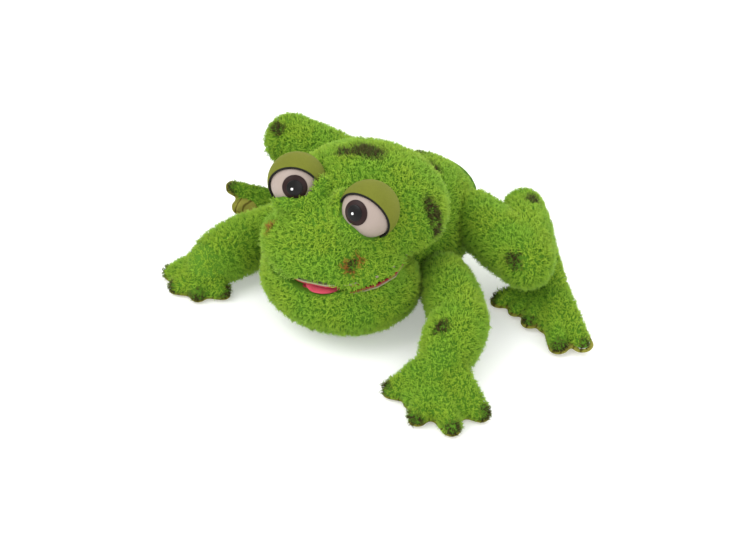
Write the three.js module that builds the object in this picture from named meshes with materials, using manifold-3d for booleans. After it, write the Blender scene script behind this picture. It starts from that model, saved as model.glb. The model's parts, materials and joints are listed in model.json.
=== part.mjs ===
// Plush frog hand puppet, as an assembly of sewn and stuffed pieces.
// Millimetres, +Z up. The frog looks along -Y and its own left side is +X.
// The origin is the centre of the flat belly panel that the puppet rests on.
import * as THREE from 'three';
import { mergeVertices } from 'three/addons/utils/BufferGeometryUtils.js';
import Module from 'manifold-3d';

const wasm = await Module();
wasm.setup();

// ---- Driving dimensions -------------------------------------------------------------------
const PILE_CLOTH = 3;        // thickness of the backed pile fabric
const LINING = 1.5;          // thickness of the sleeve and palate cloth
const SEWN_GAP = 0.5;        // gap kept between pieces that are sewn or glued together
const JOINT_GAP = 1.3;       // gap round the ball of a limb joint
const NECK_REACH = 0.84;     // radius of a limb where it meets a joint ball, as a share of the ball
const BARREL = 2.5;          // how much fuller than its ends' balls a limb's middle is
const ARM_GAP = 4.8;         // gap kept between the head and the space an upper arm sweeps
const HEAD_TURN = 8;         // degrees that the head turns each way
const HEAD_NOD = 8;          // degrees that the head nods down
const ARM_RAISE = 36;        // degrees that an arm rises from rest
const THIGH_GAP = 2;         // gap kept between the torso and the space a thigh sweeps
const THIGH_SWING = [-8, 30]; // degrees that a thigh falls and rises from rest
const SOLE = 2.6;            // thickness of a sole
const WEB_REACH = 0.74;      // how far the web between two toes reaches, as a share of their length

const BALL_DETAIL = [10, 7];
const BODY_DETAIL = [18, 12];
const HEAD_DETAIL = [16, 10];
const EYE_DETAIL = [12, 8];
const DISC_SEGMENTS = 14;
const LIMB_SEGMENTS = 10;
const TOE_SEGMENTS = 8;
const WEB_SEGMENTS = 6;

// Torso: a ball at the front that the head turns round, and a rounded back.
const NECK = [0, -15, 60];
const CHEST_RADIUS = 70;
const BACK_CENTRE = [0, 6, 59];
const BACK_SEMI = [77, 90, 71];
const BACK_STARTS_AT = 12;
const REAR = 82;
const BELLY_SEMI = [41, 46];
const BELLY_THICKNESS = 3;
const TUNNEL_SEMI = [36, 27];
const TUNNEL_HEIGHT = 62;
const SLEEVE_ENDS = [-51, 74];
const CUFF_ENDS = [82.5, 88];
const CUFF_WIDTH = 4;
const NECK_OPENING = 42;
const GUSSET_RADII = [62.5, 65.5];
const GUSSET_HOLE = 35;
const GUSSET_RIM = 49;

// Head and jaw, split by the mouth.
const CRANIUM = { centre: [0, -60, 112], semi: [86, 80, 60] };
const MUZZLE = { centre: [0, -117, 88], semi: [81, 58, 42] };
const JAW = { centre: [0, -104, 48], semi: [85, 73, 46] };
const HEAD_BACK = -8;
const HEAD_BOTTOM = 70;
const SMILE = { middle: -18, lowest: 76.4, radius: 260 };
const MOUTH_LENGTH = [-250, 60];
const JAW_HINGE = [0, -58, 66];
const JAW_REST = 4;          // degrees that the mouth stands open at rest
const JAW_OPENING = 28;
const BOARD = 2;
const FINGER_ROOM = { centre: [0, -98, 99], semi: [38, 54, 15] };
const THUMB_ROOM = { centre: [0, -92, 36], semi: [26, 46, 14] };
const TONGUE = { centre: [21, -141, 73.5], semi: [25, 26, 4] };

// Eyes: a white dome in a pocket, a half lid round its back, and a flat dark iris and pupil.
const EYE_RADIUS = 26.5;
const EYE_POCKET = 30.2;
const LID_RADII = [27, 29];
const PIPING = { circle: 28.3, thickness: 1.1 };
const IRIS = { radii: [27.1, 28], width: 12 };
const PUPIL = { radii: [28.4, 29.3], width: 8 };
const WASHER = { radius: 8, thickness: 2, depth: 34, post: 2.5 };
const EYES = {
  left: { centre: [44, -115, 150], gaze: [1.5, 20.8], lidFaces: [-0.06, 0.97, 0.23], lidEdge: -0.25 },
  right: { centre: [-44, -115, 150], gaze: [33, 17.4], lidFaces: [-0.44, 0.89, 0.13], lidEdge: -0.36 },
};

// Limbs: pivot points from the body outwards, with the ball radius at each pivot.
const ARMS = {
  left: {
    pivots: [[84, -42, 46], [136, -90, 42], [150, -141, 31]],
    balls: [27, 30, 28],
    palm: { centre: [153, -160, 15], radius: 20 },
    toes: [[118, -184, 8], [162, -204, 8], [197, -197, 8], [207, -162, 8]],
    toeRadius: 12,
    soleHeight: [[118, -185, 0], [162, -206, 0], [209, -160, 0]],
  },
  right: {
    pivots: [[-84, -42, 46], [-124, -90, 37], [-139, -147, 31]],
    balls: [27, 29, 26],
    palm: { centre: [-144, -157, 14], radius: 18 },
    toes: [[-182, -160, 8], [-159, -178, 8], [-132, -176, 8], [-113, -158, 8]],
    toeRadius: 11,
    soleHeight: [[-183, -161, 0], [-106, -157, 0], [-158, -181, 0]],
  },
};
const LEGS = {
  left: {
    pivots: [[66, 38, 70], [152, 2, 69], [100, 82, 70]],
    balls: [29, 30, 25],
    palm: { centre: [167, 32, 23], radius: 20 },
    toes: [[124, 4, 8], [168, -8, 8], [212, -27, 8], [232, -14, 8]],
    toeRadius: 11.5,
    soleHeight: [[124, -4, 1.6], [225, -38, 1.6], [140, 62, 14]],
  },
  right: {
    pivots: [[-66, 38, 70], [-172, 37, 79], [-117, 76, 25]],
    balls: [29, 30, 22],
    palm: { centre: [-160, -10, 27], radius: 16 },
    toes: [[-196, -39, 46], [-183, -48, 28], [-166, -51, 20], [-148, -45, 15]],
    toeRadius: 10,
    soleHeight: [[-186, -54, 34], [-150, -54, 5], [-138, 10, 14]],
  },
};

// ---- Materials ----------------------------------------------------------------------------
function finish(color, roughness) {
  return new THREE.MeshStandardMaterial({ color, roughness, metalness: 0 });
}
const GREEN_PILE = finish(0x6aa82a, 0.95);
const OLIVE_VELOUR = finish(0x8a9030, 0.85);
const FIBREFILL = finish(0xe8e6dc, 1);
const LINING_CLOTH = finish(0x3f5a2a, 0.9);
const RED_VELOUR = finish(0xc23a45, 0.8);
const STIFF_BOARD = finish(0x9a8a70, 0.8);
const EYE_WHITE = finish(0xd8cfc8, 0.5);
const IRIS_BROWN = finish(0x2a1712, 0.2);
const PUPIL_BLACK = finish(0x070707, 0.1);
const BLACK_CORD = finish(0x1b1b18, 0.7);
const WASHER_PLASTIC = finish(0xdddddd, 0.5);

// ---- Solids from three.js shapes -----------------------------------------------------------
function vector(point) {
  return new THREE.Vector3(...point);
}

function solidOf(geometry) {
  const bare = geometry.clone();
  bare.deleteAttribute('normal');
  bare.deleteAttribute('uv');
  const merged = mergeVertices(bare, 1e-3);
  const index = merged.index.array;
  const triangles = [];
  for (let i = 0; i < index.length; i += 3) {
    const [a, b, c] = [index[i], index[i + 1], index[i + 2]];
    if (a !== b && b !== c && c !== a) {
      triangles.push(a, b, c);
    }
  }
  return new wasm.Manifold(new wasm.Mesh({
    numProp: 3,
    vertProperties: new Float32Array(merged.attributes.position.array),
    triVerts: new Uint32Array(triangles),
  }));
}

function ellipsoid(centre, semi, detail = BODY_DETAIL) {
  const geometry = new THREE.SphereGeometry(1, ...detail);
  geometry.rotateX(Math.PI / 2);
  geometry.scale(...semi);
  geometry.translate(...centre);
  return solidOf(geometry);
}

function ball(centre, radius, detail = BALL_DETAIL) {
  return ellipsoid(centre, [radius, radius, radius], detail);
}

// A hollow that a ball of this radius turns in: its flat facets stay outside the radius.
function ballRoom(centre, radius, detail = BALL_DETAIL) {
  const [around, upwards] = detail;
  const flatness = Math.cos(Math.PI / around) * Math.cos(Math.PI / (2 * upwards));
  return ball(centre, radius / flatness, detail);
}

// A solid of revolution about the line between two points, from a profile of radius and distance.
function revolved(from, to, profile, segments) {
  const points = profile.map(([radius, distance]) => new THREE.Vector2(radius, distance));
  const geometry = new THREE.LatheGeometry(points, segments);
  const along = vector(to).sub(vector(from)).normalize();
  geometry.applyQuaternion(new THREE.Quaternion().setFromUnitVectors(new THREE.Vector3(0, 1, 0), along));
  geometry.translate(...from);
  return solidOf(geometry);
}

// Profile points on a circle round a point of the axis, between two angles from the axis.
function arc(distance, radius, fromDegrees, toDegrees, steps) {
  const points = [];
  for (let step = 0; step <= steps; step += 1) {
    const angle = THREE.MathUtils.degToRad(fromDegrees + ((toDegrees - fromDegrees) * step) / steps);
    const across = Math.max(0, radius * Math.sin(angle));
    points.push([across < 1e-6 ? 0 : across, distance - radius * Math.cos(angle)]);
  }
  return points;
}

// A plain rounded finger of cloth from one point to another.
function finger(from, to, radii, extra = 0, segments = TOE_SEGMENTS) {
  const length = vector(to).sub(vector(from)).length();
  const start = arc(0, radii[0] + extra, 0, 90, 2);
  const end = arc(length, radii[1] + extra, 90, 180, 2);
  return revolved(from, to, [...start, ...end], segments);
}

// An elliptical bar along Y.
function bar(semi, height, ends, segments = 24) {
  const geometry = new THREE.CylinderGeometry(1, 1, ends[1] - ends[0], segments);
  geometry.scale(semi[0], 1, semi[1]);
  geometry.translate(0, (ends[0] + ends[1]) / 2, height);
  return solidOf(geometry);
}

// A round rod from one point to another.
function rod(from, to, radius, segments = DISC_SEGMENTS) {
  const start = vector(from);
  const along = vector(to).sub(start);
  const geometry = new THREE.CylinderGeometry(radius, radius, along.length(), segments);
  geometry.translate(0, along.length() / 2, 0);
  const turn = new THREE.Quaternion().setFromUnitVectors(new THREE.Vector3(0, 1, 0), along.normalize());
  geometry.applyQuaternion(turn);
  geometry.translate(...from);
  return solidOf(geometry);
}

function union(...solids) {
  return solids.reduce((whole, next) => whole.add(next));
}

// The half of a solid on the side that a plane's normal points to.
function keepSide(solid, normal, point) {
  const unit = vector(normal).normalize();
  return solid.trimByPlane(unit.toArray(), unit.dot(vector(point)));
}

function layer(solid, normal, point, from, to) {
  const unit = vector(normal).normalize();
  const low = unit.dot(vector(point)) + from;
  const high = unit.dot(vector(point)) + to;
  return solid.trimByPlane(unit.toArray(), low).trimByPlane(unit.clone().negate().toArray(), -high);
}

function largest(solid) {
  return solid.decompose().sort((a, b) => b.volume() - a.volume())[0];
}

// A solid turned round an axis through a point, by an angle in degrees.
function swung(solid, pivot, axis, degrees) {
  const angle = THREE.MathUtils.degToRad(degrees);
  const place = new THREE.Matrix4().makeTranslation(...pivot);
  place.multiply(new THREE.Matrix4().makeRotationAxis(vector(axis).normalize(), angle));
  place.multiply(new THREE.Matrix4().makeTranslation(...vector(pivot).negate().toArray()));
  return solid.transform(place.elements);
}

// The level axis that a limb's first segment lifts about.
function liftAxis([root, next]) {
  return [next[1] - root[1], root[0] - next[0], 0];
}

// ---- Assembly ------------------------------------------------------------------------------
const puppet = new THREE.Group();

function addPiece(name, solid, material) {
  const { vertProperties, triVerts, numProp } = largest(solid).getMesh();
  const positions = new Float32Array((vertProperties.length / numProp) * 3);
  for (let i = 0; i < positions.length / 3; i += 1) {
    positions.set(vertProperties.subarray(i * numProp, i * numProp + 3), i * 3);
  }
  const geometry = new THREE.BufferGeometry();
  geometry.setAttribute('position', new THREE.BufferAttribute(positions, 3));
  geometry.setIndex(Array.from(triVerts));
  geometry.computeVertexNormals();
  const piece = new THREE.Mesh(geometry, material);
  piece.name = name;
  puppet.add(piece);
}

// ---- Limbs ---------------------------------------------------------------------------------
// A limb segment: a barrel narrowed at both ends, with the next joint's ball on its far end.
// The first segment of a limb also starts with a ball, and the others with a plain rounded end.
function segmentShape(limbPlan, index, extra = 0) {
  const [from, to] = [limbPlan.pivots[index], limbPlan.pivots[index + 1]];
  const [nearBall, farBall] = [limbPlan.balls[index] + extra, limbPlan.balls[index + 1] + extra];
  const length = vector(to).sub(vector(from)).length();
  const necking = THREE.MathUtils.radToDeg(Math.asin(NECK_REACH));
  const start = index === 0
    ? arc(0, nearBall, 0, 180 - necking, 4)
    : arc(0, nearBall * NECK_REACH, 0, 90, 2);
  const end = arc(length, farBall, necking, 180, 4);
  const [leaves, meets] = [start.at(-1)[1], end[0][1]];
  const fullest = (nearBall + farBall) / 2 + BARREL;
  const middle = [0.35, 0.65].map((share) => [fullest, leaves + (meets - leaves) * share]);
  return revolved(from, to, [...start, ...middle, ...end], LIMB_SEGMENTS);
}

function socket(limbPlan, index, extra = 0) {
  return ballRoom(limbPlan.pivots[index], limbPlan.balls[index] + JOINT_GAP + extra);
}

// The first segment is a ball end in the torso. Its inner side is cut open for the stuffing.
function addRootSegment(name, limbPlan) {
  const root = limbPlan.pivots[0];
  const outwards = [root[0], 0, 0];
  const cutAt = [root[0] - Math.sign(root[0]) * limbPlan.balls[0] * 0.7, root[1], root[2]];
  const outer = keepSide(segmentShape(limbPlan, 0), outwards, cutAt);
  addPiece(`${name}_skin`, outer.subtract(segmentShape(limbPlan, 0, -PILE_CLOTH)), GREEN_PILE);
  const filling = segmentShape(limbPlan, 0, -PILE_CLOTH - SEWN_GAP);
  addPiece(`${name}_stuffing`, keepSide(filling, outwards, cutAt), FIBREFILL);
}

// The second segment wraps the first one's ball, and is pressed hollow where it lies against it.
function addMiddleSegment(name, limbPlan) {
  const clear = (extra) => socket(limbPlan, 1, extra).add(segmentShape(limbPlan, 0, JOINT_GAP + extra));
  const outer = segmentShape(limbPlan, 1).subtract(clear(0));
  addPiece(`${name}_skin`, outer.subtract(segmentShape(limbPlan, 1, -PILE_CLOTH)), GREEN_PILE);
  const filling = segmentShape(limbPlan, 1, -PILE_CLOTH - SEWN_GAP);
  addPiece(`${name}_stuffing`, filling.subtract(clear(SEWN_GAP)), FIBREFILL);
}

function pawShape(limbPlan, extra = 0) {
  const { centre, radius } = limbPlan.palm;
  const wrist = limbPlan.pivots[2];
  const heel = finger(wrist, centre, [limbPlan.balls[2] * 0.9, radius], extra, LIMB_SEGMENTS);
  const toes = limbPlan.toes.map((toe) => finger(centre, toe, [radius * 0.8, limbPlan.toeRadius], extra));
  const webs = limbPlan.toes.slice(1).map((toe, index) => {
    const between = vector(toe).add(vector(limbPlan.toes[index])).multiplyScalar(0.5);
    const edge = vector(centre).lerp(between, WEB_REACH).toArray();
    return finger(centre, edge, [radius * 0.8, limbPlan.toeRadius * 0.85], extra, WEB_SEGMENTS);
  });
  return union(heel, ...toes, ...webs);
}

// The hand or foot: a fur upper, a velour sole and the stuffing between them.
function addPaw(name, limbPlan) {
  const [a, b, c] = limbPlan.soleHeight.map(vector);
  const normal = b.clone().sub(a).cross(c.clone().sub(a)).normalize();
  if (normal.z < 0) {
    normal.negate();
  }
  const up = normal.toArray();
  const base = a.toArray();
  const above = a.clone().addScaledVector(normal, SOLE + SEWN_GAP).toArray();
  const inside = a.clone().addScaledVector(normal, SOLE + 2 * SEWN_GAP).toArray();
  const clear = (extra) => {
    const segments = [0, 1].map((index) => segmentShape(limbPlan, index, JOINT_GAP + extra));
    return socket(limbPlan, 2, extra).add(union(...segments));
  };
  const shape = pawShape(limbPlan).subtract(clear(0));
  const upper = keepSide(shape, up, above).subtract(pawShape(limbPlan, -PILE_CLOTH));
  addPiece(`${name}_skin`, upper, GREEN_PILE);
  addPiece(`${name}_sole`, layer(shape, up, base, 0, SOLE), OLIVE_VELOUR);
  const filling = keepSide(pawShape(limbPlan, -PILE_CLOTH - SEWN_GAP), up, inside);
  addPiece(`${name}_stuffing`, filling.subtract(clear(SEWN_GAP)), FIBREFILL);
}

function addLimb(side, limbPlan, names) {
  addRootSegment(`${side}_${names[0]}`, limbPlan);
  addMiddleSegment(`${side}_${names[1]}`, limbPlan);
  addPaw(`${side}_${names[2]}`, limbPlan);
}

const ALL_LIMBS = [ARMS.left, ARMS.right, LEGS.left, LEGS.right];

function rootSockets(extra = 0) {
  return union(...ALL_LIMBS.map((plan) => socket(plan, 0, extra)));
}

// ---- Torso ---------------------------------------------------------------------------------
function torsoShape(extra = 0) {
  const back = ellipsoid(BACK_CENTRE, BACK_SEMI.map((semi) => semi + extra));
  const behind = keepSide(back, [0, 1, 0], [0, BACK_STARTS_AT - extra, 0]);
  return ball(NECK, CHEST_RADIUS + extra, BODY_DETAIL).add(behind);
}

// The space that a thigh passes through while it falls and rises.
function thighSweep(limbPlan) {
  const resting = segmentShape(limbPlan, 0, THIGH_GAP);
  const axis = liftAxis(limbPlan.pivots);
  const ends = THIGH_SWING.map((angle) => swung(resting, limbPlan.pivots[0], axis, angle));
  return wasm.Manifold.hull([resting, ...ends]);
}

function addTorso() {
  const tunnel = bar(TUNNEL_SEMI.map((semi) => semi + LINING + SEWN_GAP), TUNNEL_HEIGHT, [-100, 100]);
  const neckHole = bar([NECK_OPENING, NECK_OPENING], NECK[2], [-100, -40]);
  const thighs = thighSweep(LEGS.left).add(thighSweep(LEGS.right));
  const limbRoom = rootSockets().add(thighs);
  const floor = BELLY_THICKNESS + SEWN_GAP;
  const shell = keepSide(torsoShape().subtract(torsoShape(-PILE_CLOTH)), [0, 0, 1], [0, 0, floor]);
  const open = union(limbRoom, tunnel, neckHole);
  addPiece('torso_skin', keepSide(shell, [0, -1, 0], [0, REAR, 0]).subtract(open), GREEN_PILE);

  const filling = torsoShape(-PILE_CLOTH - SEWN_GAP).subtract(limbRoom.add(rootSockets(SEWN_GAP)));
  const raised = keepSide(filling, [0, 0, 1], [0, 0, floor + SEWN_GAP]);
  const behindNeck = keepSide(raised, [0, 1, 0], [0, SLEEVE_ENDS[0] + 8, 0]);
  const packed = keepSide(behindNeck, [0, -1, 0], [0, REAR, 0]);
  addPiece('torso_padding', packed.subtract(tunnel), FIBREFILL);

  const sleeve = bar(TUNNEL_SEMI.map((semi) => semi + LINING), TUNNEL_HEIGHT, SLEEVE_ENDS);
  addPiece('hand_sleeve', sleeve.subtract(bar(TUNNEL_SEMI, TUNNEL_HEIGHT, [-110, 110])), LINING_CLOTH);
  const cuff = bar(TUNNEL_SEMI.map((semi) => semi + CUFF_WIDTH), TUNNEL_HEIGHT, CUFF_ENDS);
  addPiece('sleeve_cuff', cuff.subtract(bar(TUNNEL_SEMI, TUNNEL_HEIGHT, [-110, 110])), OLIVE_VELOUR);

  const belly = new THREE.CylinderGeometry(1, 1, BELLY_THICKNESS, 32);
  belly.rotateX(Math.PI / 2);
  belly.scale(...BELLY_SEMI, 1);
  belly.translate(0, 0, BELLY_THICKNESS / 2);
  addPiece('belly_panel', solidOf(belly), OLIVE_VELOUR);

  const gusset = ball(NECK, GUSSET_RADII[1], BODY_DETAIL).subtract(ball(NECK, GUSSET_RADII[0], BODY_DETAIL));
  const rim = bar([GUSSET_RIM, GUSSET_RIM], NECK[2], [-100, NECK[1] - 10]);
  const hole = bar([GUSSET_HOLE, GUSSET_HOLE], NECK[2], [-110, 0]);
  addPiece('neck_gusset', gusset.intersect(rim).subtract(hole), LINING_CLOTH);
}

// ---- Head ----------------------------------------------------------------------------------
// The space that an upper arm passes through, as seen from the head, while it rises and the head turns.
function armSweep(limbPlan, extra) {
  const shoulder = limbPlan.pivots[0];
  const resting = segmentShape(limbPlan, 0, ARM_GAP + extra);
  const raised = swung(resting, shoulder, liftAxis(limbPlan.pivots), ARM_RAISE);
  const towardsHead = -Math.sign(shoulder[0]) * HEAD_TURN;
  const met = [resting, raised].map((arm) => swung(arm, NECK, [0, 0, 1], towardsHead));
  const nodded = met.map((arm) => swung(arm, NECK, [1, 0, 0], -HEAD_NOD));
  return wasm.Manifold.hull([resting, raised, ...met, ...nodded]);
}

function roomForArms(extra = 0) {
  return armSweep(ARMS.left, extra).add(armSweep(ARMS.right, extra));
}

function neckRoom(extra = 0) {
  return ballRoom(NECK, CHEST_RADIUS + JOINT_GAP + extra, BODY_DETAIL);
}

function eyePockets(extra = 0) {
  return union(...Object.values(EYES).map((eye) => ballRoom(eye.centre, EYE_POCKET + extra, EYE_DETAIL)));
}

function headRound(extra = 0) {
  const grown = ({ centre, semi }) => ellipsoid(centre, semi.map((half) => half + extra), HEAD_DETAIL);
  return grown(CRANIUM).add(grown(MUZZLE));
}

// A wide round bar above the mouth. Its underside is the smiling line of the closed mouth.
function smile(extra = 0) {
  const reach = SMILE.radius + extra;
  return bar([reach, reach], SMILE.lowest + SMILE.radius, MOUTH_LENGTH, 72).translate([SMILE.middle, 0, 0]);
}

// The part of the head in front of the jaw's hinge, where the mouth is.
function muzzlePart(solid) {
  return keepSide(solid, [0, -1, 0], [0, JAW_HINGE[1] + SEWN_GAP, 0]);
}

// The part of a solid above the mouth, or above the plain bottom behind the mouth.
function aboveMouth(solid, inset) {
  const front = muzzlePart(solid).intersect(smile(-inset));
  const rear = keepSide(solid, [0, 1, 0], [0, JAW_HINGE[1] + SEWN_GAP, 0]);
  return front.add(keepSide(rear, [0, 0, 1], [0, 0, HEAD_BOTTOM + inset]));
}

function headShape(extra = 0, inset = 0) {
  return keepSide(aboveMouth(headRound(extra), inset), [0, -1, 0], [0, HEAD_BACK, 0]);
}

function gazeOf(eye) {
  const [turn, lift] = eye.gaze.map(THREE.MathUtils.degToRad);
  const flat = Math.cos(lift);
  return new THREE.Vector3(Math.sin(turn) * flat, -Math.cos(turn) * flat, Math.sin(lift));
}

// A point on the eye's stalk, which runs from the middle of the dome towards the middle of the head.
function onStalk(eye, distance) {
  const inwards = vector(CRANIUM.centre).sub(vector(eye.centre)).normalize();
  return vector(eye.centre).addScaledVector(inwards, distance).toArray();
}

function stalk(eye, extra = 0) {
  return rod(eye.centre, onStalk(eye, WASHER.depth - SEWN_GAP + 3 * extra), WASHER.post + extra);
}

function washer(eye, extra = 0) {
  const ends = [WASHER.depth - extra, WASHER.depth + WASHER.thickness + extra];
  return rod(onStalk(eye, ends[0]), onStalk(eye, ends[1]), WASHER.radius + extra);
}

function washerRoom() {
  return union(...Object.values(EYES).map((eye) => washer(eye, SEWN_GAP).add(stalk(eye, SEWN_GAP))));
}

function addHead() {
  const room = union(neckRoom(), roomForArms(), eyePockets());
  addPiece('head_skin', headShape().subtract(headRound(-PILE_CLOTH)).subtract(room), GREEN_PILE);

  const innerRoom = union(neckRoom(SEWN_GAP), roomForArms(SEWN_GAP));
  const inner = muzzlePart(headRound(-PILE_CLOTH - SEWN_GAP)).subtract(innerRoom);
  const sheet = (from, to) => inner.intersect(smile(-from)).subtract(smile(-to));
  const boardFrom = LINING + SEWN_GAP;
  const boardTo = boardFrom + BOARD;
  addPiece('upper_palate', sheet(0, LINING), RED_VELOUR);
  addPiece('upper_board', sheet(boardFrom, boardTo), STIFF_BOARD);

  const fingers = ellipsoid(FINGER_ROOM.centre, FINGER_ROOM.semi, HEAD_DETAIL);
  const filling = headShape(-PILE_CLOTH - SEWN_GAP, boardTo + SEWN_GAP);
  const hollow = union(innerRoom, eyePockets(SEWN_GAP), fingers, washerRoom());
  addPiece('head_padding', filling.subtract(hollow), FIBREFILL);
}

function addEye(side, eye) {
  const shellOf = ([inner, outer]) => {
    return ball(eye.centre, outer, EYE_DETAIL).subtract(ball(eye.centre, inner, EYE_DETAIL));
  };
  addPiece(`${side}_eye_dome`, ball(eye.centre, EYE_RADIUS, EYE_DETAIL).add(stalk(eye)), EYE_WHITE);
  addPiece(`${side}_eye_washer`, washer(eye), WASHER_PLASTIC);

  const front = vector(eye.centre).addScaledVector(gazeOf(eye), 2 * EYE_RADIUS).toArray();
  const beam = (width) => rod(eye.centre, front, width);
  addPiece(`${side}_iris`, shellOf(IRIS.radii).intersect(beam(IRIS.width)), IRIS_BROWN);
  addPiece(`${side}_pupil`, shellOf(PUPIL.radii).intersect(beam(PUPIL.width)), PUPIL_BLACK);

  const facing = vector(eye.lidFaces).normalize();
  const edge = eye.lidEdge * LID_RADII[1];
  const edgePoint = vector(eye.centre).addScaledVector(facing, edge).toArray();
  const lid = keepSide(shellOf(LID_RADII), facing.toArray(), edgePoint).subtract(stalk(eye, SEWN_GAP));
  addPiece(`${side}_eyelid`, lid, OLIVE_VELOUR);

  const offset = edge - PIPING.thickness - SEWN_GAP;
  const radius = Math.sqrt(PIPING.circle ** 2 - offset ** 2);
  const cord = new THREE.TorusGeometry(radius, PIPING.thickness, 5, 20);
  cord.applyQuaternion(new THREE.Quaternion().setFromUnitVectors(new THREE.Vector3(0, 0, 1), facing));
  cord.translate(...vector(eye.centre).addScaledVector(facing, offset).toArray());
  addPiece(`${side}_lid_piping`, solidOf(cord), BLACK_CORD);
}

// ---- Jaw -----------------------------------------------------------------------------------
// The chest, as the opening jaw meets it, so that the throat clears it all the way.
function throatRoom(extra = 0) {
  const steps = [0, 0.5, 1];
  return union(...steps.map((share) => swung(neckRoom(extra), JAW_HINGE, [1, 0, 0], -JAW_OPENING * share)));
}

// The mouth's underside, let down a little to the jaw's resting place.
function jawSmile(depth) {
  return swung(smile(depth), JAW_HINGE, [1, 0, 0], JAW_REST);
}

function jawRound(extra = 0) {
  return ellipsoid(JAW.centre, JAW.semi.map((semi) => semi + extra), HEAD_DETAIL).add(headRound(extra));
}

function jawShape(extra = 0) {
  return keepSide(jawRound(extra), [0, -1, 0], JAW_HINGE);
}

function addJaw() {
  const room = throatRoom().add(roomForArms());
  const skin = jawShape().subtract(jawRound(-PILE_CLOTH)).subtract(jawSmile(SEWN_GAP));
  addPiece('jaw_skin', skin.subtract(room), GREEN_PILE);

  const innerRoom = throatRoom(SEWN_GAP).add(roomForArms(SEWN_GAP));
  const inner = jawShape(-PILE_CLOTH - SEWN_GAP).subtract(innerRoom);
  const sheet = (from, to) => inner.intersect(jawSmile(to)).subtract(jawSmile(from));
  const boardFrom = LINING + 2 * SEWN_GAP;
  const boardTo = boardFrom + BOARD;
  addPiece('lower_palate', sheet(SEWN_GAP, SEWN_GAP + LINING), RED_VELOUR);
  addPiece('lower_board', sheet(boardFrom, boardTo), STIFF_BOARD);
  const thumb = ellipsoid(THUMB_ROOM.centre, THUMB_ROOM.semi, HEAD_DETAIL);
  addPiece('jaw_padding', inner.subtract(jawSmile(boardTo + SEWN_GAP)).subtract(thumb), FIBREFILL);
  addPiece('tongue', ellipsoid(TONGUE.centre, TONGUE.semi, HEAD_DETAIL).intersect(jawSmile(0)), RED_VELOUR);
}

addTorso();
addHead();
addEye('left', EYES.left);
addEye('right', EYES.right);
addJaw();
addLimb('left', ARMS.left, ['upper_arm', 'forearm', 'hand']);
addLimb('right', ARMS.right, ['upper_arm', 'forearm', 'hand']);
addLimb('left', LEGS.left, ['thigh', 'shank', 'foot']);
addLimb('right', LEGS.right, ['thigh', 'shank', 'foot']);

export default puppet;
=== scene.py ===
import json
import math

import bmesh
import bpy
import numpy as np
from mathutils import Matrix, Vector

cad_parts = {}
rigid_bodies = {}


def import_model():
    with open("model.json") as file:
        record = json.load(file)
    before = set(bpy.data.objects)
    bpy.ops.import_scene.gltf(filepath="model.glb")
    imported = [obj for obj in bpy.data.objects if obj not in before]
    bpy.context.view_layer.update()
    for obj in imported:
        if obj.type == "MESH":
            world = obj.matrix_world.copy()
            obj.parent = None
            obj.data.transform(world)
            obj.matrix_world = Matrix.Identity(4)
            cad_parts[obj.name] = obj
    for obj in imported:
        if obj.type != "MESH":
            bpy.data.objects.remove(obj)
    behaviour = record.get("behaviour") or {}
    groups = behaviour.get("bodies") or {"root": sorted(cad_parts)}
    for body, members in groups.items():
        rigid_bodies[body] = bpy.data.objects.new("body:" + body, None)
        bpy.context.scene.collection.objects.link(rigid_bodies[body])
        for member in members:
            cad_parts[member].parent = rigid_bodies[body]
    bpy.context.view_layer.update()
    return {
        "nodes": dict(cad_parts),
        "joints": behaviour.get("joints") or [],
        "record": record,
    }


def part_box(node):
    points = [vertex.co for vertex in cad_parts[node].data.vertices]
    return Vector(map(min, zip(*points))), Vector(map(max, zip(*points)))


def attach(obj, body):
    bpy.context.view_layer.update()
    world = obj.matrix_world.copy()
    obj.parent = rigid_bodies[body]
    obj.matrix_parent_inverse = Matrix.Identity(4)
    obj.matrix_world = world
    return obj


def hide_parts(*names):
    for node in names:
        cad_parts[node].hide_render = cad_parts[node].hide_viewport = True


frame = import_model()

MM = 0.001

# ---- Places, from the frame -----------------------------------------------------------------
PIVOTS = {joint["name"]: np.array(joint["pos_m"]) / MM for joint in frame["joints"]}


def middle(node):
    low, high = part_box(node)
    return (np.array(low) + np.array(high)) / (2 * MM)


# ---- Sizes, in millimetres --------------------------------------------------------------------
PILE = 6.2                 # length of a tuft of the curly pile
PILE_HEIGHT = 4.3          # how far the leaning pile stands off the cloth
TUFT_RADIUS = 0.46
TUFT_SPACING = 1.42
MOST_TUFTS = 19000         # in one panel
VOXEL = 3.2
FINE_BALL = 5              # subdivisions of a large ball
ROPE_BALL = 3              # subdivisions of each ball along a rope
FLOOR_GAP = 0.6            # the pile is pressed flat this far above the floor
FILL_DEPTH = 1.6           # how far under the cloth the filling starts
HEAD_FILL = 0.88           # the size of the head's and the jaw's filling, as a share of their cloth

NECK = PIVOTS["neck_turn"]
CHEST_RADIUS = 70
BACK_CENTRE = np.array([0, 6, 59])
BACK_SEMI = np.array([75.5, 90, 67.5])
REAR = (66, 81.5)          # from where the back rounds off, and where it ends
TUNNEL_SEMI = np.array([36, 27])
TUNNEL_HEIGHT = 62
BELLY_SEMI = (41, 46)
CRANIUM_CENTRE = np.array([0, -60, 112])
CRANIUM_SEMI = np.array([86, 80, 60])
MUZZLE_CENTRE = np.array([0, -117, 88])
MUZZLE_SEMI = np.array([81, 58, 42])
JAW_CENTRE = np.array([0, -104, 48])
JAW_SEMI = np.array([87, 75, 47])
CHOP_CENTRE = np.array([0, -117, 72])   # the widest part of the chops, just under the mouth
CHOP_SEMI = np.array([80, 57, 30])
JAW_HINGE_Y = -58
JAW_REST = math.tan(math.radians(4))
SMILE_MIDDLE = -18
SMILE_LOWEST = 76.4
SMILE_RADIUS = 260
LIP_RAISE = 6.5            # how far the upper lip arches over the tongue
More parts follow.
